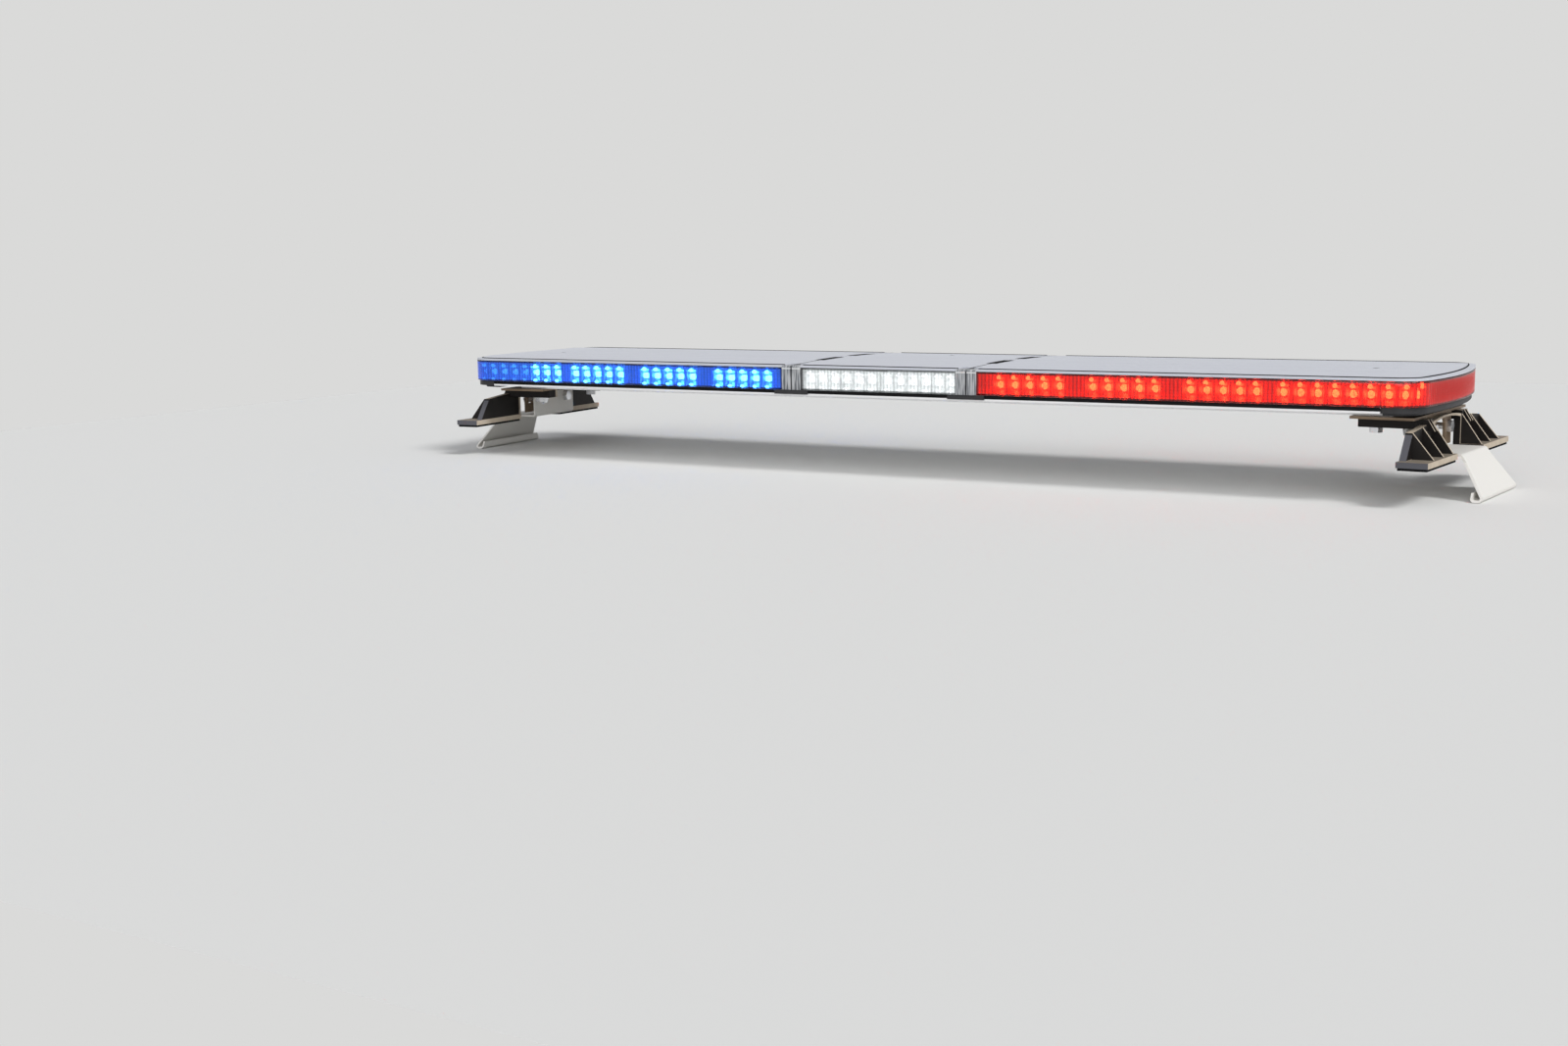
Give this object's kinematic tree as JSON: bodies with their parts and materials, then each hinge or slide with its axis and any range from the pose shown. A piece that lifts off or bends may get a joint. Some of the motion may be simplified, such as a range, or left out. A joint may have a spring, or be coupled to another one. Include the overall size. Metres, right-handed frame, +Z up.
{
  "type": "vehicle roof light bar",
  "caption": "Low full-width emergency light bar with wrap-round lenses over lamp modules, crowned covers, and ribbed feet that slide along it and clamp to a roof with hooked straps.",
  "frame": {"origin": "midway between the two feet and their blocks, level with the undersides of the feet's rubber pads, which is where the bar sits on a roof", "axes": "+X along the bar to the end with the red lens, which is the vehicle's left; -Y to the vehicle's front; +Z up"},
  "size_m": [1.4692, 0.3266, 0.1439],
  "materials": {
    "base_aluminium": "mill-finished extrusion, satin",
    "black_moulding": "black nylon, matt",
    "blue_lens": "blue polycarbonate, clear gloss",
    "red_lens": "red polycarbonate, clear gloss",
    "clear_lens": "colourless polycarbonate, gloss",
    "clear_band": "smoky colourless polycarbonate, gloss",
    "divider_rubber": "black rubber, matt",
    "cover_aluminium": "silver coated, satin, finely grooved",
    "blue_lamp_module": "metallised reflector with blue light-emitting diodes lit",
    "red_lamp_module": "metallised reflector with red light-emitting diodes lit",
    "white_lamp_module": "metallised reflector with white light-emitting diodes lit",
    "foot_moulding": "black glass-filled nylon, matt, faintly grained",
    "pad_rubber": "black rubber, matt",
    "cradle_steel": "zinc plated, slightly yellow, satin",
    "strap_steel": "stainless steel, satin",
    "fastener_steel": "zinc plated, satin"
  },
  "bodies": {
    "bar": {"base_extrusion": "base_aluminium", "end_tray_left": "black_moulding", "end_tray_right": "black_moulding", "lens_left": "blue_lens", "lens_right": "red_lens", "lens_centre_front": "clear_lens", "lens_centre_rear": "clear_lens", "divider_left": "divider_rubber", "joint_band_left_front": "clear_band", "joint_band_left_rear": "clear_band", "latches_left": "black_moulding", "divider_right": "divider_rubber", "joint_band_right_front": "clear_band", "joint_band_right_rear": "clear_band", "latches_right": "black_moulding", "cover_left": "cover_aluminium", "cover_centre": "cover_aluminium", "cover_right": "cover_aluminium", "lamp_bank_left_front": "blue_lamp_module", "lamp_corner_left_front": "blue_lamp_module", "lamp_bank_left_rear": "blue_lamp_module", "lamp_corner_left_rear": "blue_lamp_module", "lamp_alley_left": "white_lamp_module", "lamp_bank_right_front": "red_lamp_module", "lamp_corner_right_front": "red_lamp_module", "lamp_bank_right_rear": "red_lamp_module", "lamp_corner_right_rear": "red_lamp_module", "lamp_alley_right": "white_lamp_module", "lamp_centre_front": "white_lamp_module", "lamp_centre_rear": "white_lamp_module"},
    "left_foot": {"foot_body_left": "foot_moulding", "foot_pads_left": "pad_rubber", "foot_cradle_left": "cradle_steel", "roof_strap_left": "strap_steel", "rail_bolts_left": "fastener_steel", "strap_bolts_left": "fastener_steel"},
    "right_foot": {"foot_body_right": "foot_moulding", "foot_pads_right": "pad_rubber", "foot_cradle_right": "cradle_steel", "roof_strap_right": "strap_steel", "rail_bolts_right": "fastener_steel", "strap_bolts_right": "fastener_steel"}
  },
  "joints": [
    {"name": "left_foot_slide", "type": "slide", "parent": "bar", "child": "left_foot", "axis": [-1, 0, 0], "range_m": [-0.12, 0.002]},
    {"name": "right_foot_slide", "type": "slide", "parent": "bar", "child": "right_foot", "axis": [1, 0, 0], "range_m": [-0.12, 0.002]}
  ]
}
